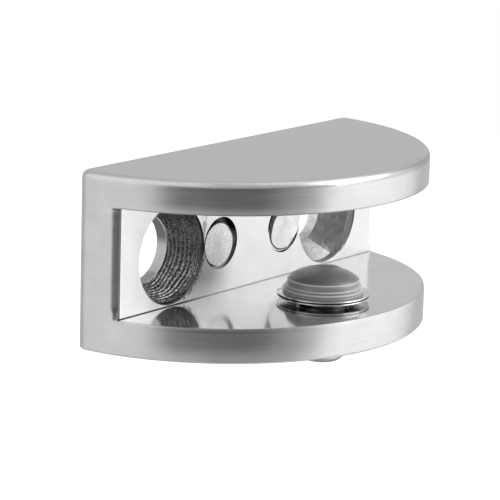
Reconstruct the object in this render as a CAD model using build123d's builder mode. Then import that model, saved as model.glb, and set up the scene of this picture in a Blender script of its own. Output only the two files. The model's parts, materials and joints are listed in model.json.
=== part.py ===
from build123d import *
import os

# Half-round glass panel clamp. One casting holds two plates on a wall, with the
# glass slot between them. A screw through the lower plate lifts a swivel pad, drawn
# as in the photograph, with the screw not quite at its lowest.
# Origin: middle of the fixing-hole line on the wall face. +Y goes into the wall,
# +Z up, +X to the right as seen from the front. Millimetres.

# Casting
body_height = 22.0
plan_radius = 27.0
back_corner_round = 1.6
upper_rim_round = 0.9
lower_rim_chamfer = 0.2
upper_plate = 4.0
lower_plate = 4.3
wall = 6.0
slot_mouth_round = 1.7
slot_corner_round = 0.4
floor_milling = 1.15
wall_milling = 0.29

# Fixing holes: a sunk ring for the screw head, a cone and a straight land
hole_height = 10.7
hole_spacing = 32.0
hole_radius = 4.25
hole_land = 1.5
head_ring_radius = 6.1
head_ring_depth = 1.1
edge_break = 0.15

# Round moulding marks on the wall, each a shallow disc in a wider ring
mark_spacing = 13.0
mark_radius = 3.3
mark_disc_radius = 2.85
mark_ring_depth = 0.7
mark_disc_depth = 0.25
mark_disc_shift = (0.15, -0.2)

# Clamp screw, M6
screw_reach = 17.3
shank_radius = 2.95
thread_clearance = 0.05
bore_chamfer = 0.3
screw_below = 3.3
tip_chamfer = 0.75
socket_across_flats = 3.0
socket_depth = 2.5
neck_radius = 1.65
rivet_radius = 2.4
rivet_height = 0.7
rivet_chamfer = 0.3

# Swivel pad: a chromed cup riveted to the screw, and a soft cap on it
running_clearance = 0.05
cup_gap = 0.5
cup_radius = 5.85
cup_floor = 0.5
cup_rim_chamfer = 0.15
collar_wall = 0.4
collar_height = 0.9
cap_fit = 0.02
cap_base_radius = 5.1
cap_step_radius = 4.8
cap_top_radius = 4.52
cap_base_height = 0.5
cap_step_height = 0.37
cap_side_height = 0.87
cap_dome_rise = 1.4
cap_edge_chamfer = 0.15
cap_roof = 1.4

underside = -hole_height
top = underside + body_height
slot_floor = underside + lower_plate
slot_ceiling = top - upper_plate
bore_radius = shank_radius + thread_clearance
wall_front = Plane(origin=(0, -wall, 0), x_dir=(1, 0, 0), z_dir=(0, -1, 0))
screw_section = Plane(origin=(0, -screw_reach, slot_floor), x_dir=(1, 0, 0), z_dir=(0, -1, 0))
screw_axis = Axis((0, -screw_reach, 0), (0, 0, 1))

# Plan of both plates: a half circle with its straight side on the wall face
with BuildSketch() as plan:
    with BuildLine():
        CenterArc((0, 0), plan_radius, 180, 180)
        Line((plan_radius, 0), (-plan_radius, 0))
    make_face()
    fillet(plan.vertices(), back_corner_round)

with BuildPart() as clamp_body:
    # Lower plate and wall: the glass slot leaves the wall standing at the back
    with BuildSketch(Plane.XY.offset(underside)):
        add(plan.sketch)
    extrude(amount=slot_ceiling - underside)

    # The slot is cast short of its final faces, its mouth is buffed round along the
    # lower plate and up both ends of the wall, and milling then leaves it crisp inside
    for floor_left, wall_left in ((floor_milling, wall_milling), (0, 0)):
        with BuildSketch(Plane.YZ) as slot:
            with BuildLine():
                Polyline(
                    (-2 * plan_radius, slot_floor + floor_left),
                    (-wall - wall_left, slot_floor + floor_left),
                    (-wall - wall_left, top),
                    (-2 * plan_radius, top),
                    close=True,
                )
            make_face()
            if wall_left:
                fillet(slot.vertices().group_by(Axis.X)[-1].sort_by(Axis.Y)[0], slot_corner_round)
        extrude(amount=2 * plan_radius, both=True, mode=Mode.SUBTRACT)
        if wall_left:
            mouth = clamp_body.edges(Select.LAST).filter_by(Axis.X, reverse=True)
            low_mouth = mouth.filter_by_position(Axis.Z, underside, slot_ceiling, (True, False))
            fillet(low_mouth, slot_mouth_round)

    # Upper plate, crisp at the slot and rounded above
    with BuildSketch(Plane.XY.offset(slot_ceiling)):
        add(plan.sketch)
    extrude(amount=upper_plate)
    chamfer(clamp_body.faces().sort_by(Axis.Z)[0].edges(), lower_rim_chamfer)
    fillet(clamp_body.faces().sort_by(Axis.Z)[-1].edges(), upper_rim_round)

    # Fixing holes through the wall
    for side in (-1, 1):
        hole_x = side * hole_spacing / 2
        with BuildSketch(Plane.XY):
            with BuildLine():
                Polyline(
                    (hole_x, 0),
                    (hole_x + hole_radius, 0),
                    (hole_x + hole_radius, -hole_land),
                    (hole_x + head_ring_radius, head_ring_depth - wall),
                    (hole_x + head_ring_radius, edge_break - wall),
                    (hole_x + head_ring_radius + edge_break, -wall),
                    (hole_x, -wall),
                    close=True,
                )
            make_face()
        revolve(axis=Axis((hole_x, 0, 0), (0, 1, 0)), mode=Mode.SUBTRACT)

    # Moulding marks: the disc sits off the middle of its ring
    for side in (-1, 1):
        ring_x = side * mark_spacing / 2
        disc_centre = (ring_x + side * mark_disc_shift[0], mark_disc_shift[1])
        with BuildSketch(wall_front):
            with Locations((ring_x, 0)):
                Circle(mark_radius)
            with Locations(disc_centre):
                Circle(mark_disc_radius, mode=Mode.SUBTRACT)
        extrude(amount=-mark_ring_depth, mode=Mode.SUBTRACT)
        with BuildSketch(wall_front):
            with Locations(disc_centre):
                Circle(mark_disc_radius)
        extrude(amount=-mark_disc_depth, mode=Mode.SUBTRACT)

    # Threaded bore of the lower plate, drawn at its clear radius
    with BuildSketch(Plane.XY.offset(underside)):
        with Locations((0, -screw_reach)):
            Circle(bore_radius)
    extrude(amount=lower_plate, mode=Mode.SUBTRACT)
    bore_edges = clamp_body.edges(Select.LAST).filter_by(GeomType.CIRCLE)
    chamfer(bore_edges, bore_chamfer)

# Clamp screw: heights are above the slot floor
shoulder = cup_gap - running_clearance
tip = -lower_plate - screw_below
cup_top = cup_gap + cup_floor
rivet_seat = cup_top + running_clearance
rivet_top = rivet_seat + rivet_height

with BuildPart() as clamp_screw:
    with BuildSketch(screw_section):
        with BuildLine():
            Polyline(
                (0, tip),
                (shank_radius - tip_chamfer, tip),
                (shank_radius, tip + tip_chamfer),
                (shank_radius, shoulder),
                (neck_radius, shoulder),
                (neck_radius, rivet_seat),
                (rivet_radius, rivet_seat),
                (rivet_radius, rivet_top - rivet_chamfer),
                (rivet_radius - rivet_chamfer, rivet_top),
                (0, rivet_top),
                close=True,
            )
        make_face()
    revolve(axis=screw_axis)
    with BuildSketch(Plane.XY.offset(slot_floor + tip)):
        with Locations((0, -screw_reach)):
            RegularPolygon(socket_across_flats / 2, 6, major_radius=False)
    extrude(amount=socket_depth, mode=Mode.SUBTRACT)

# Chromed cup: a flat flange with a collar round the rivet
collar_bore = rivet_radius + 2 * running_clearance
collar_radius = collar_bore + collar_wall
collar_top = cup_top + collar_height

with BuildPart() as pad_cup:
    with BuildSketch(screw_section):
        with BuildLine():
            Polyline(
                (neck_radius + running_clearance, cup_gap),
                (cup_radius - cup_rim_chamfer, cup_gap),
                (cup_radius, cup_gap + cup_rim_chamfer),
                (cup_radius, cup_top - cup_rim_chamfer),
                (cup_radius - cup_rim_chamfer, cup_top),
                (collar_radius, cup_top),
                (collar_radius, collar_top),
                (collar_bore, collar_top),
                (collar_bore, cup_top),
                (neck_radius + running_clearance, cup_top),
                close=True,
            )
        make_face()
    revolve(axis=screw_axis)

# Soft cap: three stepped rings under a shallow dome, hollow over the collar
step_base = cup_top + cap_base_height
side_base = step_base + cap_step_height
shoulder_top = side_base + cap_side_height
dome_top = shoulder_top + cap_dome_rise
cap_bore = collar_radius + cap_fit
cap_ceiling = dome_top - cap_roof
dome_edge_radius = cap_top_radius - cap_edge_chamfer
dome_radius = (dome_edge_radius**2 + cap_dome_rise**2) / (2 * cap_dome_rise)

with BuildPart() as pad_cap:
    with BuildSketch(screw_section):
        with BuildLine():
            Polyline(
                (0, dome_top),
                (0, cap_ceiling),
                (cap_bore, cap_ceiling),
                (cap_bore, cup_top),
                (cap_base_radius, cup_top),
                (cap_base_radius, step_base),
                (cap_step_radius, step_base),
                (cap_step_radius, side_base),
                (cap_top_radius, side_base),
                (cap_top_radius, shoulder_top - cap_edge_chamfer),
                (dome_edge_radius, shoulder_top),
            )
            RadiusArc((dome_edge_radius, shoulder_top), (0, dome_top), -dome_radius)
        make_face()
    revolve(axis=screw_axis)

clamp_body.part.label = "clamp_body"
clamp_screw.part.label = "clamp_screw"
pad_cup.part.label = "pad_cup"
pad_cap.part.label = "pad_cap"

os.makedirs("parts", exist_ok=True)
for piece in (clamp_body.part, clamp_screw.part, pad_cup.part, pad_cap.part):
    export_step(piece, f"parts/{piece.label}.step")
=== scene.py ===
import json
import math

import bmesh
import bpy
from mathutils import Matrix, Vector, noise


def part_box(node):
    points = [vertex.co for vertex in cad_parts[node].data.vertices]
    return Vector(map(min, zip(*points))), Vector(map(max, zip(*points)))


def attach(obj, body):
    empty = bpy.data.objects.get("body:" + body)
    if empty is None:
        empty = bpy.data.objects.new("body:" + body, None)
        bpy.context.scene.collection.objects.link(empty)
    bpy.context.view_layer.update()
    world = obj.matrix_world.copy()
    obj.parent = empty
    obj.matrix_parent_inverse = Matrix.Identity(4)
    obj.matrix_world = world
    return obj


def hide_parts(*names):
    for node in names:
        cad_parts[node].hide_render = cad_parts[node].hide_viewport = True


# Looks of the half-round glass panel clamp: a satin nickel casting with a bright
# slot, a swivel pad of chromed cup and soft grey cap, and its threaded screw.
# The frame, the meshes and the studio are in metres. Materials and the casting's
# sizes are in millimetres, and a size that is multiplied by MM is in metres.

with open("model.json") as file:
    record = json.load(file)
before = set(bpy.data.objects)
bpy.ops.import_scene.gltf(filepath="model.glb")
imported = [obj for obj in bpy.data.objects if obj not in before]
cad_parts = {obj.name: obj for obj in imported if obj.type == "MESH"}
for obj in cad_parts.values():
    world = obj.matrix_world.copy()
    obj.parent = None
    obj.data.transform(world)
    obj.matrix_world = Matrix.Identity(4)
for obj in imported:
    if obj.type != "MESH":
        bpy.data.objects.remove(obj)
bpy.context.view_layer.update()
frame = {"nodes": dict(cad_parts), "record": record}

MM = 0.001
PER_METRE = 1000.0


def millimetres(length):
    return length * PER_METRE


# Places read from the frame
body_low, body_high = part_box("clamp_body")
cup_low, cup_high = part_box("pad_cup")
cap_low, cap_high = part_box("pad_cap")
screw_low, screw_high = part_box("clamp_screw")
mounts = {mount["name"]: mount for mount in frame["record"]["mounts"]}
joints = {joint["name"]: joint for joint in frame["record"]["behaviour"]["joints"]}
SCREW_X, SCREW_Y, slot_floor = joints["screw_turn"]["pos_m"]
FLOOR = millimetres(slot_floor)
CEILING = millimetres(mounts["glass_seat"]["pos_m"][2])
TOP = millimetres(body_high.z)
UNDERSIDE = millimetres(body_low.z)
PLAN_RADIUS = millimetres(-body_low.y)
HOLE_X = mounts["wall_screws"]["dims"]["spacing_x_mm"] / 2
HOLE_RADIUS = mounts["wall_screws"]["dims"]["hole_r_mm"]

# Sizes that the casting's solid has
WALL = 6.0
CONE_START = -1.50
CONE_END = -4.90
HEAD_RING_RADIUS = 6.10
EDGE_BREAK = 0.15
HOLE_EDGE_RADIUS = HEAD_RING_RADIUS + EDGE_BREAK
MARK_X = 6.5
MARK_SHIFT = (0.15, -0.2)
MARK_RADIUS = 3.3
MARK_DISC_RADIUS = 2.85


# Node graphs


class Graph:
    """One material's or world's nodes, made by short calls that return sockets."""

    def __init__(self, tree):
        self.tree = tree
        self.tree.nodes.clear()

    def node(self, kind, inputs=(), **settings):
        made = self.tree.nodes.new(kind)
        for key, value in settings.items():
            setattr(made, key, value)
        for key, value in dict(inputs).items():
            self.put(made.inputs[key], value)
        return made

    def put(self, socket, value):
        if isinstance(value, bpy.types.NodeSocket):
            self.tree.links.new(value, socket)
        else:
            socket.default_value = value

    def math(self, operation, *values):
        made = self.node("ShaderNodeMath", enumerate(values), operation=operation)
        return made.outputs[0]

    def product(self, first, *others):
        for other in others:
            first = self.math("MULTIPLY", first, other)
        return first

    def linear(self, value, factor, offset):
        return self.math("MULTIPLY_ADD", value, factor, offset)

    def above(self, value, limit):
        return self.math("GREATER_THAN", value, limit)

    def below(self, value, limit):
        return self.math("LESS_THAN", value, limit)

    def outside(self, mask):
        """Is 1 where a mask is 0, and 0 where it is 1."""
        return self.math("SUBTRACT", 1.0, mask)

    def distance(self, across, up):
        squares = self.math("ADD", self.product(across, across), self.product(up, up))
        return self.math("SQRT", squares)

    def vector(self, operation, *values):
        made = self.node("ShaderNodeVectorMath", enumerate(values), operation=operation)
        return made.outputs["Value" if operation == "DOT_PRODUCT" else "Vector"]

    def scaled(self, vector, factor):
        made = self.node("ShaderNodeVectorMath", {0: vector, "Scale": factor}, operation="SCALE")
        return made.outputs["Vector"]

    def split(self, vector):
        return self.node("ShaderNodeSeparateXYZ", {0: vector}).outputs

    def joined(self, x, y, z):
        return self.node("ShaderNodeCombineXYZ", {0: x, 1: y, 2: z}).outputs[0]

    def tilted(self, normal, x, y, z):
        """A normal that leans by the given amounts."""
        return self.vector("NORMALIZE", self.vector("ADD", normal, self.joined(x, y, z)))

    def place(self):
        """Place on the part, in millimetres."""
        return self.scaled(self.node("ShaderNodeTexCoord").outputs["Object"], PER_METRE)

    def step(self, value, start, end):
        """Rises smoothly from 0 at start to 1 at end."""
        made = self.node(
            "ShaderNodeMapRange",
            {"Value": value, "From Min": start, "From Max": end},
            interpolation_type="SMOOTHSTEP",
        )
        return made.outputs["Result"]

    def between(self, value, low, high, soft):
        """Is 1 from low to high and falls to 0 over the soft distance outside."""
        return self.product(self.step(value, low - soft, low), self.step(value, high + soft, high))

    def blend(self, factor, first, second):
        made = self.node("ShaderNodeMix", {0: factor, 2: first, 3: second}, data_type="FLOAT")
        return made.outputs[0]

    def vectors(self, factor, first, second):
        made = self.node("ShaderNodeMix", {0: factor, 4: first, 5: second}, data_type="VECTOR")
        return made.outputs[1]

    def vary(self, tone, pattern, amount):
        """Moves a tone up and down with a pattern that lies round one half."""
        return self.linear(self.math("SUBTRACT", pattern, 0.5), amount, tone)

    def darken(self, tone, mask, share):
        """Takes a share off a tone where a mask is 1."""
        return self.product(tone, self.linear(mask, -share, 1.0))

    def grey(self, value):
        return self.node("ShaderNodeCombineColor", {0: value, 1: value, 2: value}).outputs[0]

    def noise(self, vector, scale, detail=2.0, roughness=0.5):
        made = self.node(
            "ShaderNodeTexNoise",
            {"Vector": vector, "Scale": scale, "Detail": detail, "Roughness": roughness},
        )
        return made.outputs["Fac"]

    def bump(self, height, distance, strength, normal=None):
        inputs = {"Height": height, "Distance": distance, "Strength": strength}
        if normal is not None:
            inputs["Normal"] = normal
        return self.node("ShaderNodeBump", inputs).outputs[0]

    def finish(self, tone, roughness, normal, kind):
        """Ends the graph in one grey shader; the kind's plain numbers stay on its own sockets."""
        inputs = {"Base Color": self.grey(tone), "Roughness": roughness, "Normal": normal}
        shader = self.node("ShaderNodeBsdfPrincipled", inputs | kind)
        self.node("ShaderNodeOutputMaterial", {"Surface": shader.outputs[0]})


METAL = {"Metallic": 1.0}
SOFT_PLASTIC = {"IOR": 1.6, "Coat Weight": 0.6, "Coat Roughness": 0.25}


def new_material(name):
    material = bpy.data.materials.new(name)
    material.use_nodes = True
    return material, Graph(material.node_tree)


# Satin nickel casting: levels and places of its finish

LEVEL_FACING = 0.8
OUTSIDE_TONE = 0.61
WALL_TONE = 0.66
LEVEL_TONE = 0.72
BRUSHED_ALONG = 0.05
BRUSHED_UP = 1.2
BRUSHED_ACROSS = 1.6
BRUSHED_ANISOTROPY = 0.7

# How far from each edge the buffing leans a face up or down, and by how much
SLOT_EDGE_REACH = 1.5
SLOT_EDGE_LEAN = -0.16
FOOT_REACH = 2.8
FOOT_LEAN = -0.15
HEAD_REACH = 1.6
HEAD_LEAN = 0.05
MOUTH_TOP_LEAN = 0.30

# The wall's left end, worn by the buffing, and the foot of the rounded mouth beside it
WORN_END = -25.70
WORN_LEAN = 0.95
MOUTH_END = -25.1

# Directions round the moulding marks in which their rings get painted light, and the one in which they
# get painted shade
MARK_LIT_LEFT = (0.75, -0.66, 0.0)
MARK_LIT_RIGHT = (0.98, -0.20, 0.0)
MARK_SHADE = (-0.80, 0.60, 0.0)


class CastingPoint:
    """Where a shaded point of the casting lies, and which way its face looks."""

    def __init__(self, graph):
        self.place = graph.place()
        self.x, self.y, self.z = graph.split(self.place)
        self.facing = graph.node("ShaderNodeNewGeometry").outputs["Normal"]
        upwards = graph.split(self.facing)[2]
        self.level = graph.above(graph.math("ABSOLUTE", upwards), LEVEL_FACING)
        self.upright = graph.outside(self.level)


def buffed_lean(graph, at):
    """How far the buffing wheel leaves the upright faces leaning up or down near their edges."""
    slot_edge = graph.step(at.z, CEILING + SLOT_EDGE_REACH, CEILING)
    slot_edge = graph.product(slot_edge, graph.above(at.z, CEILING - 0.3))
    foot = graph.step(at.z, UNDERSIDE + FOOT_REACH, UNDERSIDE)
    head = graph.step(at.z, TOP - HEAD_REACH, TOP)
    mouth_top = graph.step(at.z, CEILING - SLOT_EDGE_REACH, CEILING)
    behind_slot = graph.step(at.y, -WALL + 2.0, -WALL + 1.2)
    mouth_top = graph.product(mouth_top, graph.below(at.z, CEILING), behind_slot)
    lean = 0.0
    for edge, amount in (
        (slot_edge, SLOT_EDGE_LEAN),
        (foot, FOOT_LEAN),
        (head, HEAD_LEAN),
        (mouth_top, MOUTH_TOP_LEAN),
    ):
        lean = graph.linear(edge, amount, lean)
    return graph.product(lean, at.upright)


def mouth_foot_shade(graph, at):
    """Painted shade at the foot of the rounded mouth's left end."""
    fading_up = graph.step(at.z, FLOOR + 1.9, FLOOR + 0.5)
    from_floor = graph.step(at.z, FLOOR - 0.1, FLOOR + 0.2)
    along_wall = graph.between(at.y, -WALL - 0.05, -WALL + 0.30, 0.30)
    rounded_end = graph.step(at.x, MOUTH_END, MOUTH_END - 0.3)
    return graph.product(fading_up, from_floor, along_wall, rounded_end)


def brushed_outside(graph, at):
    """Tone, roughness and normal of the outer faces, brushed along their curve."""
    turn = graph.math("ARCTAN2", at.x, graph.product(at.y, -1.0))
    along = graph.product(turn, PLAN_RADIUS, BRUSHED_ALONG)
    on_curve = graph.joined(along, graph.product(at.z, BRUSHED_UP), 0.0)
    on_level = graph.joined(graph.product(at.x, BRUSHED_ALONG), graph.product(at.y, BRUSHED_ACROSS), 0.0)
    brushed_at = graph.vectors(at.level, on_curve, on_level)
    streaks = graph.noise(brushed_at, scale=2.6, detail=4.0, roughness=0.6)
    clouds = graph.noise(at.place, scale=0.30)
    tone = graph.vary(OUTSIDE_TONE, streaks, graph.blend(at.level, 0.11, 0.05))
    tone = graph.vary(tone, clouds, graph.blend(at.level, 0.12, 0.03))

    # Painted shade: darker under the top's left rim, and in a line along the slot's upper edge
    rim_shade = graph.product(graph.between(at.z, TOP - 0.85, TOP - 0.03, 0.06), at.upright)
    tone = graph.darken(tone, graph.product(rim_shade, graph.step(at.x, -19.0, -11.0)), 0.24)
    over_slot = graph.product(at.upright, graph.step(at.y, -WALL + 0.1, -WALL - 0.2))
    slot_edge_shade = graph.product(graph.between(at.z, CEILING - 0.05, CEILING + 0.10, 0.06), over_slot)
    tone = graph.linear(slot_edge_shade, -0.26, tone)
    # Painted shade at the foot of the mouth's left end
    tone = graph.darken(tone, mouth_foot_shade(graph, at), 0.72)

    leaning = graph.tilted(at.facing, 0.0, 0.0, buffed_lean(graph, at))
    waves = graph.bump(clouds, distance=0.05 * MM, strength=0.35, normal=leaning)
    roughness = graph.linear(streaks, 0.08, 0.25)
    return tone, roughness, graph.bump(streaks, distance=0.004 * MM, strength=0.6, normal=waves)


def torn_edge(graph, at):
    """Dark flecks on the wall where the left hole's edge broke out towards its mark."""
    out = graph.distance(graph.math("ADD", at.x, HOLE_X), at.z)
    low_right = graph.product(graph.step(at.z, 0.5, -1.0), graph.step(at.x, -HOLE_X + 1.0, -HOLE_X + 3.0))
    ring = graph.between(out, HOLE_EDGE_RADIUS, HOLE_EDGE_RADIUS + 0.30, 0.08)
    crumbs = graph.noise(at.place, scale=3.2, roughness=0.6)
    flecks = graph.product(graph.step(crumbs, 0.50, 0.58), ring, low_right)
    gap = graph.between(at.x, -HOLE_X + 5.9, -HOLE_X + 6.6, 0.15)
    gap = graph.product(gap, graph.between(at.z, -1.0, 4.0, 0.8))
    tears_at = graph.joined(graph.product(at.x, 3.6), 0.0, graph.product(at.z, 0.6))
    tears = graph.product(graph.step(graph.noise(tears_at, scale=1.0), 0.48, 0.56), gap)
    marked = graph.math("MAXIMUM", graph.product(flecks, 0.80), graph.product(tears, 0.55))
    return graph.product(marked, at.upright)


def corner_shade_line(graph, at):
    """Painted shade: the dark line where the slot's floor meets the wall, strongest at the left."""
    on_floor = graph.between(at.y, -WALL - 0.12, -WALL + 0.05, 0.07)
    on_floor = graph.product(on_floor, graph.blend(graph.step(at.x, -14.0, -8.0), 0.90, 0.40), at.level)
    on_wall = graph.product(graph.step(at.z, FLOOR + 0.17, FLOOR + 0.07), at.upright)
    on_wall = graph.product(on_wall, graph.blend(graph.step(at.x, -14.0, -9.0), 0.85, 0.35))
    return graph.math("MAXIMUM", on_floor, on_wall)


def milled_slot(graph, at):
    """The slot's faces: a satin wall, and a bright floor and ceiling that mirror it."""
    cutter_at = graph.joined(graph.product(at.x, 2.5), graph.product(at.y, 0.25), at.z)
    cutter = graph.noise(cutter_at, scale=1.0, detail=3.0)
    ripple = graph.noise(at.place, scale=0.35)
    pits = graph.noise(at.place, scale=2.8, roughness=0.6)
    pits = graph.step(pits, 0.68, 0.76)
    left_end_light = graph.step(at.x, -17.0, -22.0)

    tone = graph.blend(at.level, WALL_TONE, LEVEL_TONE)
    # Painted light: paler towards the left end, a little on the wall and more on the floor and ceiling
    tone = graph.linear(left_end_light, graph.blend(at.level, 0.06, 0.20), tone)
    tone = graph.vary(tone, ripple, 0.10)
    tone = graph.vary(tone, cutter, 0.05)
    tone = graph.linear(pits, -0.10, tone)
    # The corner line is painted shade; the torn edge's flecks are marks on the casting
    tone = graph.product(tone, graph.outside(corner_shade_line(graph, at)), graph.outside(torn_edge(graph, at)))
    roughness = graph.linear(cutter, 0.05, graph.blend(at.level, 0.30, 0.10))

    # The buffing reaches a little way in from the left end of the wall
    worn_end = graph.product(graph.step(at.x, WORN_END + 0.15, WORN_END), at.upright)
    leaning = graph.tilted(at.facing, graph.product(worn_end, -WORN_LEAN), 0.0, 0.0)
    waves = graph.bump(ripple, distance=0.03 * MM, strength=0.5, normal=leaning)
    return tone, roughness, graph.bump(cutter, distance=0.003 * MM, strength=0.5, normal=waves)


def raw_recess(graph, at):
    """Fixing holes as cast: coarse dark rings in the left one, smoother in the right one."""
    left = graph.below(at.x, 0.0)
    wobble = graph.noise(at.place, scale=1.1, detail=3.0, roughness=0.6)
    grit = graph.noise(at.place, scale=5.0, detail=3.0, roughness=0.75)
    ridges_at = graph.product(graph.linear(wobble, 0.40, at.y), 12.5)
    ridges = graph.linear(graph.math("SINE", ridges_at), 0.5, 0.5)
    land = graph.step(at.y, CONE_START - 0.12, CONE_START)
    head_ring_shade = graph.step(at.y, CONE_END + 0.10, CONE_END - 0.05)

    # Left: dark above, paler and rougher below, with a clean land behind; the paler lower part of cone
    # and land is painted light
    low = graph.step(at.z, 0.8, -3.0)
    rough_tone = graph.linear(ridges, 0.05, graph.linear(grit, 0.08, 0.01))
    rough_tone = graph.product(rough_tone, graph.linear(low, 3.2, 1.0))
    land_tone = graph.blend(graph.step(at.z, 1.0, -0.6), 0.20, 0.56)
    left_tone = graph.blend(land, rough_tone, land_tone)

    # A painted glint on the land's front edge, strongest above and below
    above_or_below = graph.step(graph.math("ABSOLUTE", at.z), 1.2, 2.6)
    glint = graph.between(at.y, CONE_START - 0.08, CONE_START, 0.05)
    glint = graph.product(glint, graph.blend(above_or_below, 0.35, 0.95))
    left_tone = graph.math("ADD", glint, left_tone)

    # Right: mottled, with painted shade on the ring for the screw head
    right_tone = graph.product(graph.linear(wobble, 0.60, 0.42), graph.blend(head_ring_shade, 1.0, 0.50))

    coarse = graph.product(left, graph.outside(land))
    tone = graph.blend(left, right_tone, left_tone)
    roughness = graph.blend(coarse, 0.50, 0.38)
    relief = graph.blend(coarse, wobble, graph.linear(grit, 1.1, ridges))
    return tone, roughness, graph.bump(relief, distance=0.13 * MM, strength=1.0)


def moulding_mark(graph, at):
    """Where a mark and its disc are, the disc's rays, and the tone of both, with painted light and shade
    on the ring.
    """
    right_one = graph.above(at.x, 0.0)
    side = graph.math("SIGN", at.x)
    ring_x = graph.math("SUBTRACT", at.x, graph.product(side, MARK_X))
    disc_x = graph.math("SUBTRACT", at.x, graph.product(side, MARK_X + MARK_SHIFT[0]))
    disc_z = graph.math("SUBTRACT", at.z, MARK_SHIFT[1])
    from_ring = graph.distance(ring_x, at.z)
    from_disc = graph.distance(disc_x, disc_z)
    in_mark = graph.below(from_ring, MARK_RADIUS + 0.03)

    # The ring gets painted shade, and painted light low on its right
    outwards = graph.scaled(graph.joined(ring_x, at.z, 0.0), graph.math("DIVIDE", 1.0, from_ring))
    towards_light = graph.vectors(right_one, MARK_LIT_LEFT, MARK_LIT_RIGHT)
    lit = graph.step(graph.vector("DOT_PRODUCT", outwards, towards_light), 0.30, 0.75)
    shaded = graph.step(graph.vector("DOT_PRODUCT", outwards, MARK_SHADE), 0.2, 0.95)
    shaded = graph.product(shaded, right_one)
    groove = graph.blend(lit, 0.05, graph.blend(right_one, 0.60, 0.95))

    # Its front lip gets painted shade, darker still, but not where flash closes the right ring
    lip = graph.product(
        graph.step(at.y, -WALL + 0.22, -WALL + 0.12),
        graph.step(from_ring, MARK_RADIUS - 0.1, MARK_RADIUS),
        graph.outside(graph.product(lit, right_one)),
    )
    groove = graph.product(groove, graph.blend(lip, 1.0, 0.12))

    # The disc has fine rays, and draws back where the right ring is shaded, so that the ring's painted
    # shade covers its edge
    edge = graph.linear(lit, 0.08, MARK_DISC_RADIUS - 0.19)
    edge = graph.linear(shaded, -0.55, edge)
    in_disc = graph.product(in_mark, graph.below(from_disc, edge))
    angle = graph.math("ARCTAN2", disc_z, disc_x)
    rays_at = graph.joined(graph.product(angle, 16.0), graph.product(from_disc, 0.9), 0.0)
    rays = graph.step(graph.noise(rays_at, scale=1.0, detail=3.0, roughness=0.7), 0.30, 0.70)
    disc = graph.linear(rays, graph.blend(right_one, 0.36, 0.14), graph.blend(right_one, 0.46, 0.54))
    return in_mark, in_disc, rays, graph.blend(in_disc, groove, disc)


def casting_material():
    """Brushed outside along its curve, bright inside the slot, raw in the holes."""
    material, graph = new_material("satin_nickel")
    at = CastingPoint(graph)

    # Which surface a point is on
    inside = graph.below(graph.distance(at.x, at.y), PLAN_RADIUS - 0.35)
    tall = graph.product(graph.above(at.z, FLOOR - 0.02), graph.below(at.z, CEILING + 0.02))
    in_front = graph.below(at.y, -WALL + 0.02)
    in_slot = graph.product(tall, inside, in_front)
    in_wall = graph.product(graph.outside(in_front), graph.below(at.y, -0.02))
    from_middle = graph.math("ABSOLUTE", at.x)
    between_ends = graph.below(from_middle, HOLE_X + HOLE_EDGE_RADIUS + 1.0)
    recessed = graph.product(tall, in_wall, between_ends)
    from_hole = graph.distance(graph.math("SUBTRACT", from_middle, HOLE_X), at.z)
    in_hole = graph.product(recessed, graph.below(from_hole, HOLE_EDGE_RADIUS))

    # Each surface is laid over the one before
    tone, roughness, normal = brushed_outside(graph, at)
    for mask, surface in ((in_slot, milled_slot), (in_hole, raw_recess)):
        over_tone, over_roughness, over_normal = surface(graph, at)
        tone = graph.blend(mask, tone, over_tone)
        roughness = graph.blend(mask, roughness, over_roughness)
        normal = graph.vectors(mask, normal, over_normal)

    in_mark, in_disc, rays, mark_tone = moulding_mark(graph, at)
    in_mark = graph.product(recessed, in_mark)
    in_disc = graph.product(recessed, in_disc)
    tone = graph.blend(in_mark, tone, mark_tone)
    roughness = graph.blend(in_mark, roughness, 0.38)
    normal = graph.vectors(in_disc, normal, graph.bump(rays, distance=0.02 * MM, strength=0.5))

    # Highlights stretch across the brushing
    tangent = graph.vectors(at.level, (0, 0, 1), (0, 1, 0))
    brushed = {"Anisotropic": BRUSHED_ANISOTROPY, "Tangent": tangent}
    graph.finish(tone, roughness, normal, METAL | brushed)
    return material


body = frame["nodes"]["clamp_body"]
body.material_slots[0].material = casting_material()


# Mesh building


def compass(turns):
    """The angle, cosine and sine of each direction round a circle."""
    for index in range(turns):
        angle = 2 * math.pi * index / turns
        yield angle, math.cos(angle), math.sin(angle)


def smooth_step(value, start, end):
    part = min(1.0, max(0.0, (value - start) / (end - start)))
    return part * part * (3 - 2 * part)


def join_rings(shape, rings, closed):
    """Faces between neighbouring rings, and from the last to the first if closed.

    A ring is a list of points, or a single point on the axis."""
    turns = max(len(ring) for ring in rings)
    following_rings = rings[1:] + (rings[:1] if closed else [])
    for lower, upper in zip(rings, following_rings):
        for index in range(turns):
            following = (index + 1) % turns
            corners = (
                lower[index % len(lower)],
                lower[following % len(lower)],
                upper[following % len(upper)],
                upper[index % len(upper)],
            )
            unique = list(dict.fromkeys(corners))
            if len(unique) > 2:
                shape.faces.new(unique)


def smooth_object(name, shape, material, sharp_degrees=40):
    """Ends a bmesh in an object that is smooth but for its sharp edges."""
    bmesh.ops.recalc_face_normals(shape, faces=shape.faces)
    for face in shape.faces:
        face.smooth = True
    mesh = bpy.data.meshes.new(name)
    shape.to_mesh(mesh)
    shape.free()
    mesh.set_sharp_from_angle(angle=math.radians(sharp_degrees))
    piece = bpy.data.objects.new(name, mesh)
    bpy.context.collection.objects.link(piece)
    piece.data.materials.append(material)
    return piece


# Ridges left by the mould in the left fixing hole

RIDGE_TURNS = 288
RIDGE_ROWS = 86
RIDGE_END_ROWS = 5
RIDGE_FRONT = -5.80
RIDGE_PITCH = 0.43
RIDGE_WANDER = 0.35
RIDGE_BASE = 0.05
RIDGE_WAVE = 0.10
RIDGE_WAVE_LOW = 0.05
RIDGE_TEAR = 0.07
RIDGE_LEAST = 0.02
RIDGE_SEAT = 0.04
RIDGE_ROOT = 0.25


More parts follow.
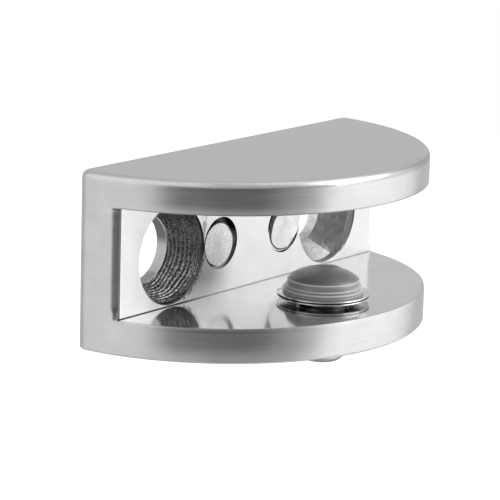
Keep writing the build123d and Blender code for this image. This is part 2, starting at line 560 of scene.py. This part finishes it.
def ridged_material():
    """Raw casting: painted shade between the ridges and low in the hole, and painted highlights on the
    crests low in the hole.
    """
    material, graph = new_material("raw_casting")
    place = graph.place()
    x, y, z = graph.split(place)
    out = graph.distance(graph.math("ADD", x, HOLE_X), z)
    part = graph.math("DIVIDE", graph.math("SUBTRACT", CONE_START, y), CONE_START - CONE_END)
    part = graph.math("MINIMUM", part, 1.0)
    cone = graph.linear(part, HEAD_RING_RADIUS - HOLE_RADIUS, HOLE_RADIUS)
    crest = graph.step(graph.math("SUBTRACT", cone, out), 0.07, 0.20)
    grit = graph.noise(place, scale=4.5, detail=3.0, roughness=0.75)
    low = graph.step(z, -0.3, -3.2)
    crest_highlight = graph.product(crest, low, graph.step(grit, 0.38, 0.58))
    speckle = graph.step(grit, 0.36, 0.64)
    # Painted shade between the ridges and low in the hole; painted highlights on the crests low down
    tone = graph.linear(speckle, 0.30, graph.linear(crest, 0.08, 0.05))
    tone = graph.product(tone, graph.blend(low, 1.0, 0.5))
    tone = graph.linear(crest_highlight, 0.85, tone)
    roughness = graph.linear(grit, 0.20, 0.25)
    graph.finish(tone, roughness, graph.bump(grit, distance=0.05 * MM, strength=0.8), METAL)
    return material


def hole_radius_at(y):
    """Radius of the fixing hole at a depth: a cone from the land to the head ring."""
    part = min(1.0, (CONE_START - y) / (CONE_START - CONE_END))
    return HOLE_RADIUS + (HEAD_RING_RADIUS - HOLE_RADIUS) * part


def ridge_height(y, across, up):
    """How far the ridges stand in from the hole: waves that wander, break up and grow below."""
    wander = noise.noise(Vector((across * 1.6, y * 0.5, up * 1.6))) * RIDGE_WANDER
    wave = 0.5 + 0.5 * math.sin(2 * math.pi * (y + wander) / RIDGE_PITCH)
    height = RIDGE_BASE + (RIDGE_WAVE - RIDGE_WAVE_LOW * up) * wave
    height += RIDGE_TEAR * noise.noise(Vector((across * 22, y * 3.0, up * 22)))
    return max(height, RIDGE_LEAST)


def make_ridges():
    """A ring seated in the casting's left hole, ridged inside and plain outside."""
    shape = bmesh.new()
    rings = []

    def add_ring(y, radius_towards):
        ring = []
        for angle, across, up in compass(RIDGE_TURNS):
            radius = radius_towards(across, up)
            place = ((radius * across - HOLE_X) * MM, y * MM, radius * up * MM)
            ring.append(shape.verts.new(place))
        rings.append(ring)

    for row in range(RIDGE_ROWS + 1):
        y = CONE_START + (RIDGE_FRONT - CONE_START) * row / RIDGE_ROWS
        ends = min(1.0, row / RIDGE_END_ROWS, (RIDGE_ROWS - row) / RIDGE_END_ROWS)
        seat = hole_radius_at(y) + RIDGE_SEAT
        add_ring(y, lambda across, up: seat - (RIDGE_SEAT + ridge_height(y, across, up)) * ends)
    for y in (RIDGE_FRONT, CONE_START):
        add_ring(y, lambda across, up: hole_radius_at(y) + RIDGE_ROOT)
    join_rings(shape, rings, closed=True)
    piece = smooth_object("cast_ridges", shape, ridged_material(), sharp_degrees=50)
    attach(piece, "bracket")


# Flash that half closes the right moulding mark's ring

FLASH_TURNS = 144
FLASH_DEPTH = 0.27
FLASH_BACK = 0.62
FLASH_OVER_DISC = 0.10
FLASH_TUCK = 0.06
FLASH_SEAT = 0.03
FLASH_RAGGED = 0.10

# On this side the flash climbs from the disc to the wall's face
FLASH_CLIMB_TOWARDS = 35
FLASH_CLIMB_HEIGHT = 0.25
FLASH_CLIMB_INWARDS = 1.3

# Gaps: direction in degrees, the cosines where one starts and is widest, and how wide
FLASH_GAPS = ((150, 0.64, 0.90, 1.0), (245, 0.26, 0.64, 0.45), (317, 0.90, 0.97, 0.75))


def flash_material():
    material, graph = new_material("raw_flash")
    mottle = graph.noise(graph.place(), scale=2.2, detail=3.0, roughness=0.6)
    tone = graph.linear(mottle, 0.20, 0.52)
    roughness = graph.linear(mottle, 0.12, 0.30)
    graph.finish(tone, roughness, graph.bump(mottle, distance=0.02 * MM, strength=0.5), METAL)
    return material


def nearness(angle, degrees):
    """Is 1 in the given direction and -1 opposite it."""
    return math.cos(angle - math.radians(degrees))


def ring_open(angle):
    """How far the ring is open in a direction: wide at its upper left, narrow below."""
    openings = []
    for towards, start, widest, wide in FLASH_GAPS:
        openings.append(wide * smooth_step(nearness(angle, towards), start, widest))
    return max(openings)


def flash_section(angle, across, up):
    """Corners of the flash in a direction: distance from the ring's middle, and depth."""
    shift_x, shift_z = MARK_SHIFT
    along = shift_x * across + shift_z * up
    disc_edge = along + math.sqrt(MARK_DISC_RADIUS**2 - shift_x**2 - shift_z**2 + along**2)
    ragged = FLASH_RAGGED * noise.noise(Vector((across * 5, 1.7, up * 5)))
    closed = min(1.0, max(0.0, 1 - ring_open(angle) + ragged))
    climb = smooth_step(nearness(angle, FLASH_CLIMB_TOWARDS), 0.10, 0.80)
    start = disc_edge - FLASH_OVER_DISC - FLASH_CLIMB_INWARDS * climb
    least_reach = disc_edge - FLASH_TUCK
    reach = least_reach + (MARK_RADIUS + FLASH_SEAT - least_reach) * closed
    front = FLASH_DEPTH - FLASH_CLIMB_HEIGHT * climb
    return (start, FLASH_DEPTH), (reach, front), (reach, FLASH_BACK), (start, FLASH_BACK)


def make_flash():
    """Thin metal from the right mark's disc across its ring, ragged where it stops short."""
    shape = bmesh.new()
    rings = [[], [], [], []]
    for angle, across, up in compass(FLASH_TURNS):
        for ring, (radius, depth) in zip(rings, flash_section(angle, across, up)):
            place = ((MARK_X + radius * across) * MM, (depth - WALL) * MM, radius * up * MM)
            ring.append(shape.verts.new(place))
    join_rings(shape, rings, closed=True)
    piece = smooth_object("mark_flash", shape, flash_material())
    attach(piece, "bracket")


# Pad and screw: radii and heights of their turned outlines

TURNED_TURNS = 128
ROUND_SEGMENTS = 5
ON_AXIS = 1e-7

CUP_BORE = 1.70 * MM
CUP_BORE_ROUND = 0.04 * MM
CUP_BEAD_INSET = 0.05 * MM
CUP_BEAD_TOP = 0.15 * MM
CUP_GROOVE_INSET = 0.20 * MM
CUP_LIP_FOOT = 0.34 * MM
CUP_ROLL = 0.07 * MM
COLLAR_INNER = 2.50 * MM
COLLAR_OUTER = 2.90 * MM
COLLAR_ROUND = 0.06 * MM

CAP_BORE = 2.92 * MM
CAP_STEP_RADIUS = 4.80 * MM
CAP_SIDE_RADIUS = 4.52 * MM
CAP_BASE_HEIGHT = 0.50 * MM
CAP_STEP_HEIGHT = 0.37 * MM
CAP_DOME_RISE = 1.40 * MM
CAP_ROOF = 1.40 * MM
CAP_LIP = 0.06 * MM
CAP_GROOVE = 0.07 * MM
CAP_SLOPE = 0.05 * MM
CAP_BEAD = 0.14 * MM
CAP_BEAD_TOP = 0.20 * MM
CAP_BASE_LIP = 0.11 * MM
CAP_STEP_LIP = 0.10 * MM
CAP_SIDE_LIP = 0.05 * MM
CAP_SIDE_SLOPE = 0.08 * MM
CAP_DIMPLE = 0.04 * MM
CAP_DIMPLE_HEIGHT = 0.12 * MM
CAP_EDGE = 0.12 * MM
CAP_EDGE_PARTS = 6
DOME_ROWS = 32
DOME_SPACING = 1.5
DOME_SHAPE = (2.3, 0.85)

STEP_BASE = cap_low.z + CAP_BASE_HEIGHT
SIDE_BASE = STEP_BASE + CAP_STEP_HEIGHT
SHOULDER = cap_high.z - CAP_DOME_RISE

SCREW_TURNS = 96
THREAD_PITCH = 1.0 * MM
THREAD_DEPTH = 0.45 * MM
THREAD_ROWS = 22
THREAD_FADE_IN = 0.8 * THREAD_PITCH
THREAD_FADE_OUT = 0.7 * THREAD_PITCH
TIP_CHAMFER = 0.75 * MM
SOCKET_FLATS = 3.0 * MM
SOCKET_DEPTH = 2.5 * MM
NECK_RADIUS = 1.65 * MM
RIVET_RADIUS = 2.40 * MM
RIVET_SIDE = 0.30 * MM
PLAY = 0.05 * MM

# Half the flat at the thread's root and the width of its flank, as shares of the pitch
THREAD_ROOT = 0.08
THREAD_FLANK = 0.34

# Heights from the tip or from the rivet's end, each with how far the radius draws in
# there, in millimetres
TIP_PROFILE = ((0.0, 0.80), (0.02, 0.72), (0.22, 0.42), (0.47, 0.16), (0.72, 0.02))
RIVET_PROFILE = ((0.14, 0.10), (0.0, 0.40))


def round_place(graph):
    """Place, and its distance from the screw axis and height, in millimetres."""
    place = graph.place()
    x, y, z = graph.split(place)
    x = graph.math("SUBTRACT", x, millimetres(SCREW_X))
    y = graph.math("SUBTRACT", y, millimetres(SCREW_Y))
    return place, graph.distance(x, y), z


def turning_marks(graph, radius, z, spacing, scale, detail=2.0, roughness=0.5):
    """Noise in rings round the screw axis."""
    rings_at = graph.joined(graph.product(radius, spacing), graph.product(z, spacing), 0.0)
    return graph.noise(rings_at, scale=scale, detail=detail, roughness=roughness)


def cup_material():
    """Polished chrome, with painted shade in the groove round its edge."""
    material, graph = new_material("polished_chrome")
    place, radius, z = round_place(graph)
    rings = turning_marks(graph, radius, z, spacing=9.0, scale=1.0)
    smears = graph.noise(place, scale=0.8, detail=3.0)
    edge = millimetres(cup_high.x - SCREW_X)
    groove_low = millimetres(cup_low.z + CUP_BEAD_TOP)
    groove_high = millimetres(cup_low.z + CUP_LIP_FOOT)
    groove = graph.between(z, groove_low, groove_high, 0.01)
    groove = graph.product(groove, graph.between(radius, edge - 0.30, edge - 0.08, 0.03))
    roughness = graph.linear(smears, 0.08, 0.05)
    # Painted shade in the groove
    tone = graph.blend(groove, 0.72, 0.04)
    graph.finish(tone, roughness, graph.bump(rings, distance=0.003 * MM, strength=0.5), METAL)
    return material


def cap_material():
    """Soft grey plastic: a smooth darker dome over paler rings, with a painted highlight on each lip."""
    material, graph = new_material("soft_grey_cap")
    place, radius, z = round_place(graph)
    rings = turning_marks(graph, radius, z, spacing=5.0, scale=1.6, detail=3.0, roughness=0.6)
    speckle = graph.noise(place, scale=9.0, roughness=0.7)
    shoulder = millimetres(SHOULDER)
    # Painted highlights along the lips
    lips = graph.between(z, shoulder - 0.14, shoulder - 0.02, 0.05)
    for lip in (millimetres(SIDE_BASE), millimetres(STEP_BASE)):
        lips = graph.math("ADD", lips, graph.between(z, lip - 0.05, lip + 0.02, 0.04))
    dome = graph.step(z, shoulder - 0.10, shoulder + 0.05)
    tone = graph.blend(dome, graph.linear(speckle, 0.14, 0.20), graph.linear(speckle, 0.03, 0.125))
    tone = graph.linear(rings, 0.03, tone)
    tone = graph.linear(lips, 0.34, tone)
    roughness = graph.linear(rings, 0.10, 0.30)
    normal = graph.bump(rings, distance=0.015 * MM, strength=0.5)
    normal = graph.bump(speckle, distance=0.006 * MM, strength=0.5, normal=normal)
    graph.finish(tone, roughness, normal, SOFT_PLASTIC)
    return material


def screw_material():
    """Plated steel with patches of wear, and a painted highlight line round the tip's edge."""
    material, graph = new_material("plated_steel")
    place = graph.place()
    z = graph.split(place)[2]
    wear = graph.noise(place, scale=2.5, detail=3.0)
    fine = graph.noise(place, scale=9.0, detail=3.0, roughness=0.6)
    # Painted highlight line round the tip's edge
    tip_edge = millimetres(screw_low.z + TIP_CHAMFER)
    line = graph.between(z, tip_edge - 0.05, tip_edge + 0.02, 0.04)
    tone = graph.linear(line, 0.50, graph.linear(wear, 0.12, 0.26))
    roughness = graph.linear(wear, 0.15, 0.24)
    graph.finish(tone, roughness, graph.bump(fine, distance=0.008 * MM, strength=0.5), METAL)
    return material


def rounded(corners):
    """Points of an outline whose (radius, height, round) corners are rounded where asked."""
    points = []
    count = len(corners)
    for index, (radius, height, size) in enumerate(corners):
        here = Vector((radius, height))
        before = Vector(corners[(index - 1) % count][:2])
        after = Vector(corners[(index + 1) % count][:2])
        if not size:
            points.append(here)
            continue
        towards_before = (before - here).normalized()
        towards_after = (after - here).normalized()
        half = towards_before.angle(towards_after) / 2
        middle = here + (towards_before + towards_after).normalized() * (size / math.sin(half))
        start = here + towards_before * (size / math.tan(half)) - middle
        swing = start.angle_signed(here + towards_after * (size / math.tan(half)) - middle)
        for part in range(ROUND_SEGMENTS + 1):
            turned = start.copy()
            turned.rotate(Matrix.Rotation(-swing * part / ROUND_SEGMENTS, 2))
            points.append(middle + turned)
    return points


def turned_object(name, outline, material):
    """Spins an outline of (radius, height) round the screw axis into a closed mesh."""
    shape = bmesh.new()
    rings = []
    for radius, height in outline:
        if radius < ON_AXIS:
            rings.append([shape.verts.new((SCREW_X, SCREW_Y, height))])
            continue
        ring = []
        for angle, across, up in compass(TURNED_TURNS):
            place = (SCREW_X + across * radius, SCREW_Y + up * radius, height)
            ring.append(shape.verts.new(place))
        rings.append(ring)
    join_rings(shape, rings, closed=True)
    return smooth_object(name, shape, material)


def make_cup():
    """Flange with a bead and a rolled lip at its edge, and the collar round the rivet."""
    outer = cup_high.x
    flange_top = cap_low.z
    bottom = cup_low.z
    top = cup_high.z
    outline = rounded(
        [
            (CUP_BORE, bottom, CUP_BORE_ROUND),
            (outer - CUP_BEAD_INSET, bottom, CUP_ROLL),
            (outer - CUP_BEAD_INSET, bottom + CUP_BEAD_TOP, CUP_ROLL),
            (outer - CUP_GROOVE_INSET, bottom + CUP_BEAD_TOP, 0),
            (outer - CUP_GROOVE_INSET, bottom + CUP_LIP_FOOT, 0),
            (outer, bottom + CUP_LIP_FOOT, CUP_ROLL),
            (outer, flange_top, CUP_ROLL),
            (COLLAR_OUTER, flange_top, 0),
            (COLLAR_OUTER, top, COLLAR_ROUND),
            (COLLAR_INNER, top, COLLAR_ROUND),
            (COLLAR_INNER, flange_top, 0),
            (CUP_BORE, flange_top, CUP_BORE_ROUND),
        ]
    )
    piece = turned_object("turned_cup", outline, cup_material())
    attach(piece, "pad")
    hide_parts("pad_cup")


def cap_lip(radius, top, height):
    """Corners from a groove out to the lip above it, and up to the lip's edge."""
    return [
        (radius - CAP_GROOVE, top - height - CAP_SLOPE, CAP_LIP / 2),
        (radius, top - height, CAP_LIP / 2),
        (radius, top, CAP_LIP),
    ]


def make_cap():
    """Stepped rings with soft lips under a shallow dome, hollow below for the collar."""
    base = cap_high.x
    bottom = cap_low.z
    roof = cap_high.z - CAP_ROOF
    middle = (SIDE_BASE + SHOULDER) / 2
    corners = [
        (CAP_BORE, roof, 0),
        (CAP_BORE, bottom, 0),
        (base, bottom, CAP_LIP),
        (base, bottom + CAP_BEAD, CAP_LIP),
        (base - CAP_GROOVE, bottom + CAP_BEAD_TOP, CAP_LIP / 2),
        *cap_lip(base, STEP_BASE, CAP_BASE_LIP),
        (CAP_STEP_RADIUS - CAP_GROOVE, STEP_BASE, CAP_LIP / 2),
        *cap_lip(CAP_STEP_RADIUS, SIDE_BASE, CAP_STEP_LIP),
        (CAP_SIDE_RADIUS - CAP_GROOVE, SIDE_BASE, CAP_LIP / 2),
        (CAP_SIDE_RADIUS - CAP_GROOVE, middle - CAP_SIDE_SLOPE, CAP_LIP / 2),
        (CAP_SIDE_RADIUS, middle, CAP_LIP / 2),
        (CAP_SIDE_RADIUS, middle + CAP_SIDE_LIP, CAP_LIP / 2),
        (CAP_SIDE_RADIUS - CAP_DIMPLE, middle + CAP_DIMPLE_HEIGHT, CAP_LIP / 2),
        (CAP_SIDE_RADIUS, SHOULDER - CAP_EDGE, CAP_LIP / 2),
    ]
    outline = rounded(corners)[:-1]
    reach = CAP_SIDE_RADIUS - CAP_EDGE
    for index in range(CAP_EDGE_PARTS + 1):
        turn = math.pi / 2 * index / CAP_EDGE_PARTS
        edge = Vector((math.cos(turn), math.sin(turn))) * CAP_EDGE
        outline.append(Vector((reach, SHOULDER - CAP_EDGE)) + edge)
    flatness, fullness = DOME_SHAPE
    for index in range(1, DOME_ROWS + 1):
        across = reach * (1 - (index / DOME_ROWS) ** DOME_SPACING)
        swell = (1 - (across / reach) ** flatness) ** fullness
        outline.append(Vector((across, SHOULDER + CAP_DOME_RISE * swell)))
    outline.append(Vector((0.0, roof)))
    piece = turned_object("turned_cap", outline, cap_material())
    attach(piece, "pad")
    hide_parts("pad_cap")


def socket_radius(angle):
    """Distance from the screw axis to the hexagon's side in this direction."""
    sector = math.pi / 3
    return SOCKET_FLATS / 2 / math.cos((angle + sector / 2) % sector - sector / 2)


def make_screw():
    """M6 screw: a thread cut as one helix, a chamfered tip with a hex socket, and the rivet."""
    crest = screw_high.x
    tip = screw_low.z
    thread_start = tip + TIP_CHAMFER
    thread_end = cup_low.z - PLAY
    rivet_seat = cap_low.z + PLAY
    rivet_top = screw_high.z
    shape = bmesh.new()
    rings = []

    def add_ring(height, radius_at):
        """One ring of points; radius_at gives a radius for each angle."""
        ring = []
        for angle, across, up in compass(SCREW_TURNS):
            radius = radius_at(angle)
            place = (SCREW_X + radius * across, SCREW_Y + radius * up, height)
            ring.append(shape.verts.new(place))
        rings.append(ring)

    def add_round(height, radius):
        add_ring(height, lambda angle: radius)

    def threaded(height):
        """Thread radius round the screw at one height, fading out at both ends."""
        fade_in = (height - thread_start) / THREAD_FADE_IN
        fade_out = (thread_end - height) / THREAD_FADE_OUT
        depth = THREAD_DEPTH * max(0.0, min(1.0, fade_in, fade_out))

        def radius(angle):
            phase = (height / THREAD_PITCH - angle / (2 * math.pi)) % 1.0
            flank = min(1.0, max(0.0, (abs(phase - 0.5) - THREAD_ROOT) / THREAD_FLANK))
            return crest - depth * (1 - flank)

        return radius

    add_ring(tip + SOCKET_DEPTH, socket_radius)
    add_ring(tip, socket_radius)
    for above_tip, inwards in TIP_PROFILE:
        add_round(tip + above_tip * MM, crest - inwards * MM)
    rows = round((thread_end - thread_start) / THREAD_PITCH * THREAD_ROWS)
    for row in range(rows + 1):
        height = thread_start + (thread_end - thread_start) * row / rows
        add_ring(height, threaded(height))
    add_round(thread_end, NECK_RADIUS)
    add_round(rivet_seat, NECK_RADIUS)
    add_round(rivet_seat, RIVET_RADIUS)
    add_round(rivet_seat + RIVET_SIDE, RIVET_RADIUS)
    for below_top, inwards in RIVET_PROFILE:
        add_round(rivet_top - below_top * MM, RIVET_RADIUS - inwards * MM)
    join_rings(shape, rings, closed=False)
    shape.faces.new(rings[0])
    shape.faces.new(rings[-1])
    piece = smooth_object("threaded_screw", shape, screw_material())
    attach(piece, "screw")
    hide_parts("clamp_screw")


make_ridges()
make_flash()
make_cup()
make_cap()
make_screw()


# Studio: white beyond, soft bright and dark sides that the metal mirrors

# Each side's compass direction, and the angles from it where it is full and where it ends
LEFT_SIDE = (165, 20, 60)
FRONT_SIDE = (-48, 14, 50)
GREY_SIDE = (-112, 8, 36)
DARK_SIDE = (-140, 18, 42)

ROOM_LEVEL = 0.635
LEFT_LEVEL = 0.92
LEFT_GAIN_UPWARDS = 0.18
FRONT_LEVEL = 1.38
GREY_LEVEL = 0.38
DARK_LEVEL = 0.07

# Upward parts of a direction: the ends of the grey and dark sides and their softness,
# and the stretch over which the left side brightens
SIDE_ENDS = (-0.30, 0.22, 0.26)
LEFT_RISE = (-0.12, 0.30)

GROUND_DROP = 400.0 * MM
GROUND_SIZE = 4.0
GROUND_GLOW = 0.45

# The photograph's view of the part, found from its corners and holes
CAMERA_AZIMUTH = -52.46506
CAMERA_ELEVATION = 12.88965
CAMERA_ROLL = 1.70455
CAMERA_PLACE = (-0.245643, -0.194368, 0.068843)
CAMERA_LENS = 180.02
CAMERA_SENSOR = 36.0


def studio_world():
    """Plain white to the camera, and a room with a few soft sides to the metal."""
    world = bpy.data.worlds.new("studio")
    bpy.context.scene.world = world
    world.use_nodes = True
    graph = Graph(world.node_tree)
    x, y, z = graph.split(graph.node("ShaderNodeTexCoord").outputs["Generated"])
    flat = graph.vector("NORMALIZE", graph.joined(x, y, 0.0))

    def side(azimuth, inner, outer):
        """Is 1 within the inner angle of a compass direction and 0 beyond the outer one."""
        angle = math.radians(azimuth)
        lined_up = graph.vector("DOT_PRODUCT", flat, (math.cos(angle), math.sin(angle), 0.0))
        return graph.step(lined_up, math.cos(math.radians(outer)), math.cos(math.radians(inner)))

    left_level = graph.linear(graph.step(z, *LEFT_RISE), LEFT_GAIN_UPWARDS, LEFT_LEVEL)
    within_ends = graph.between(z, *SIDE_ENDS)
    level = graph.blend(side(*LEFT_SIDE), ROOM_LEVEL, left_level)
    level = graph.blend(side(*FRONT_SIDE), level, FRONT_LEVEL)
    level = graph.blend(graph.product(side(*GREY_SIDE), within_ends), level, GREY_LEVEL)
    level = graph.blend(graph.product(side(*DARK_SIDE), within_ends), level, DARK_LEVEL)
    seen = graph.node("ShaderNodeLightPath").outputs["Is Camera Ray"]
    strength = graph.blend(seen, level, 1.0)
    background = graph.node("ShaderNodeBackground", {"Color": (1, 1, 1, 1), "Strength": strength})
    graph.node("ShaderNodeOutputWorld", {"Surface": background.outputs[0]})


def make_floor():
    """A pale floor well below the part, bright enough to meet the white beyond."""
    bpy.ops.mesh.primitive_plane_add(size=GROUND_SIZE, location=(0, 0, body_low.z - GROUND_DROP))
    floor = bpy.context.object
    floor.name = "floor"
    material, graph = new_material("pale_floor")
    diffuse = graph.node("ShaderNodeBsdfDiffuse", {"Color": (0.8, 0.8, 0.8, 1.0)})
    seen = graph.node("ShaderNodeLightPath").outputs["Is Camera Ray"]
    strength = graph.product(seen, GROUND_GLOW)
    glow = graph.node("ShaderNodeEmission", {"Color": (1, 1, 1, 1), "Strength": strength})
    both = graph.node("ShaderNodeAddShader", {0: diffuse.outputs[0], 1: glow.outputs[0]})
    graph.node("ShaderNodeOutputMaterial", {"Surface": both.outputs[0]})
    floor.data.materials.append(material)
    floor.visible_glossy = False


def soft_lamp(name, place, aim, size, power):
    data = bpy.data.lights.new(name, "AREA")
    data.shape = "DISK"
    data.size = size
    data.energy = power
    lamp = bpy.data.objects.new(name, data)
    lamp.location = place
    lamp.rotation_euler = (Vector(aim) - Vector(place)).to_track_quat("-Z", "Y").to_euler()
    bpy.context.collection.objects.link(lamp)


def make_camera():
    data = bpy.data.cameras.new("camera")
    data.sensor_width = CAMERA_SENSOR
    data.lens = CAMERA_LENS
    data.clip_start = 0.01
    data.clip_end = 10.0
    camera = bpy.data.objects.new("camera", data)
    turn = Matrix.Rotation(math.radians(CAMERA_AZIMUTH), 4, "Z")
    tilt = Matrix.Rotation(math.radians(90 - CAMERA_ELEVATION), 4, "X")
    roll = Matrix.Rotation(math.radians(CAMERA_ROLL), 4, "Z")
    camera.matrix_world = Matrix.Translation(CAMERA_PLACE) @ turn @ tilt @ roll
    bpy.context.collection.objects.link(camera)
    bpy.context.scene.camera = camera


studio_world()
make_floor()
soft_lamp("key", place=(0.35, -0.45, 0.45), aim=(0, -0.013, 0), size=0.55, power=2.0)
make_camera()
bpy.context.scene.view_settings.view_transform = "Standard"
